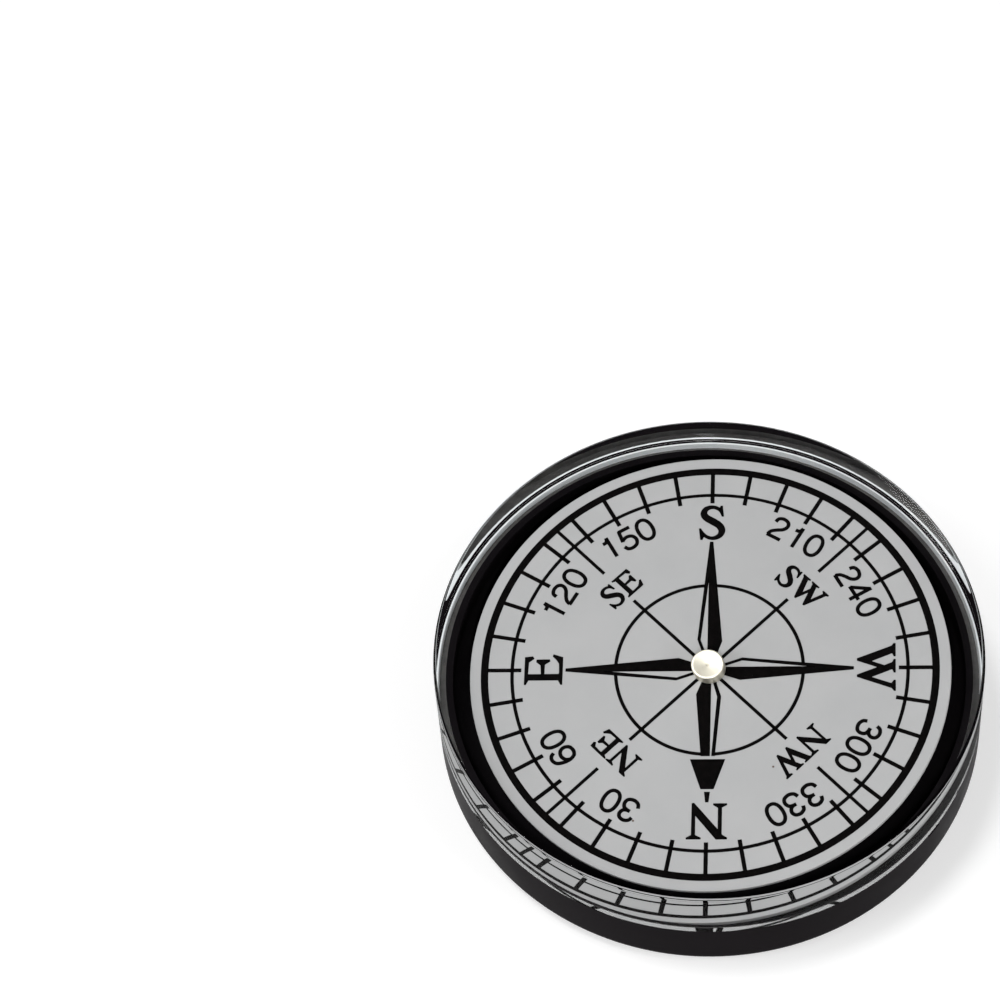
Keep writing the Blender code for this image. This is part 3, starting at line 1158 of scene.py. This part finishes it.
def make_floor():
    """A round floor that reaches far past the picture."""
    shape = bmesh.new()
    bmesh.ops.create_circle(shape, cap_ends=True, radius=FLOOR_REACH, segments=64)
    mesh = finish_mesh("studio_floor", shape)
    mesh.materials.append(floor_finish())
    new_object("studio_floor", mesh)


def add_lamp(name, size, watts, place):
    """A round softbox that faces the compass."""
    data = bpy.data.lights.new(name, "AREA")
    data.shape = "DISK"
    data.size = size
    data.energy = watts
    lamp = bpy.data.objects.new(name, data)
    lamp.location = place
    aim = LAMP_TARGET - Vector(place)
    lamp.rotation_euler = aim.to_track_quat("-Z", "Y").to_euler()
    bpy.context.scene.collection.objects.link(lamp)


def make_world():
    """A pale room that is dim overhead, so that the flat cover stays quiet."""
    world = bpy.data.worlds.new("studio")
    world.use_nodes = True
    tree = world.node_tree
    direction = add_node(tree, "ShaderNodeTexCoord").outputs["Generated"]
    height = add_node(tree, "ShaderNodeSeparateXYZ", {"Vector": direction}).outputs["Z"]
    strength = spread(tree, height, 1.0, 0.10, 0.05, 0.55)
    tree.links.new(strength, tree.nodes["Background"].inputs["Strength"])
    tree.nodes["Background"].inputs["Color"].default_value = (1.0, 1.0, 1.0, 1.0)
    bpy.context.scene.world = world


def make_lamps():
    """A softbox on each side and two lamps high up, clear of the mirror image in the flat cover."""
    add_lamp("left_softbox", 0.5, 2.6, (-0.75, -0.25, 0.65))
    add_lamp("right_softbox", 0.5, 2.2, (0.75, -0.35, 0.60))
    add_lamp("top_softbox", 0.34, 2.8, (-0.36, 0.14, 0.92))
    add_lamp("front_lamp", 0.09, 2.7, (0.0, -0.48, 0.87))


# The camera, as the photograph was taken, with its focal length in pixels of the picture
CAMERA_ELEVATION = math.radians(60.4)
CAMERA_DISTANCE = 0.600
CAMERA_ROLL = math.radians(-0.85)
FOCAL_PIXELS = 4130.0
FRAME_PIXELS = 1000.0
SENSOR_MILLIMETRES = 36.0
# Where the middle of the case's top lies in the picture, in pixels from the picture's centre
PICTURE_RIGHT = 208.2
PICTURE_DOWN = 152.3


def make_camera():
    """Looks at the top of the case, and turns just enough to put it where the picture has it."""
    data = bpy.data.cameras.new("camera")
    data.sensor_width = SENSOR_MILLIMETRES
    data.lens = FOCAL_PIXELS / FRAME_PIXELS * SENSOR_MILLIMETRES
    camera = bpy.data.objects.new("camera", data)
    target = Vector((0.0, 0.0, TOP))
    back = Vector((0.0, -math.cos(CAMERA_ELEVATION), math.sin(CAMERA_ELEVATION)))
    right = Vector((1.0, 0.0, 0.0))
    up = back.cross(right)
    look = Matrix((right, up, back)).transposed()
    aside = Vector((PICTURE_RIGHT, -PICTURE_DOWN, -FOCAL_PIXELS)).normalized()
    swing = aside.rotation_difference(Vector((0.0, 0.0, -1.0))).to_matrix()
    turned = look @ Matrix.Rotation(CAMERA_ROLL, 3, "Z") @ swing
    camera.matrix_world = Matrix.Translation(target + back * CAMERA_DISTANCE) @ turned.to_4x4()
    bpy.context.scene.collection.objects.link(camera)
    bpy.context.scene.camera = camera


make_tray()
make_seal()
make_clear_body()
make_card_disc()
make_cap()
print_rings()
print_ticks()
print_rose()
print_letters()
print_numbers()
refinish_inner_solids()
make_floor()
make_world()
make_lamps()
make_camera()
bpy.context.scene.view_settings.view_transform = "Standard"
